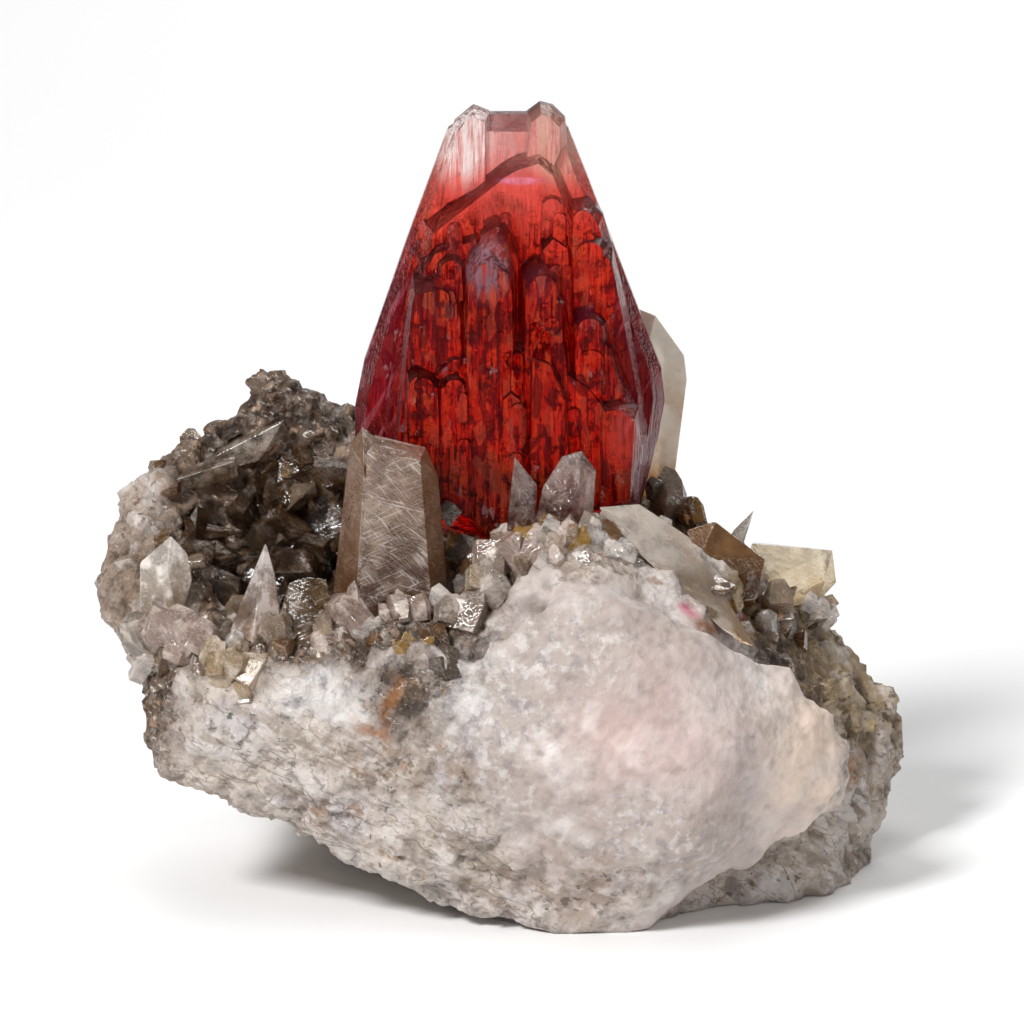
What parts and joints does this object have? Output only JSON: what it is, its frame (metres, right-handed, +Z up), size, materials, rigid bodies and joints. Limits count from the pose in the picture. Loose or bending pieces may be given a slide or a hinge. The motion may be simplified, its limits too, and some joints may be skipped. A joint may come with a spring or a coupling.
{
  "type": "mineral specimen",
  "caption": "Wendwilsonite on matrix: a tapering sheaf of fused deep-red blades stands on a broken rock with calcite crystals at its foot and a crystal-lined hollow.",
  "frame": {"origin": "middle of the bounding box, on the flat foot of the rock", "axes": "+Z up, +X to the right of the display side, -Y out of the display side towards the viewer"},
  "size_m": [0.0262, 0.0174, 0.0249],
  "materials": {
    "matrix_rock": "rough grey-white, brown and pale pink carbonate rock",
    "smoky_druse": "glittering smoky grey-brown druse",
    "wendwilsonite": "clear deep red, glassy, finely striated",
    "calcite": "clear to cloudy pale calcite, glassy",
    "brown_calcite": "smoky brown to honey calcite, glassy"
  },
  "bodies": {
    "root": {"matrix": "matrix_rock", "vug_crust": "smoky_druse", "wendwilsonite_crystal": "wendwilsonite", "calcite_front": "calcite", "calcite_behind": "calcite", "calcite_right": "calcite", "calcite_brown": "brown_calcite", "calcite_splinter": "calcite", "calcite_foot": "calcite", "calcite_dogtooth": "calcite", "calcite_left_block": "calcite", "calcite_smoky_block": "brown_calcite", "calcite_slabs": "calcite", "calcite_yellow": "brown_calcite", "calcite_plate": "calcite"}
  },
  "joints": []
}
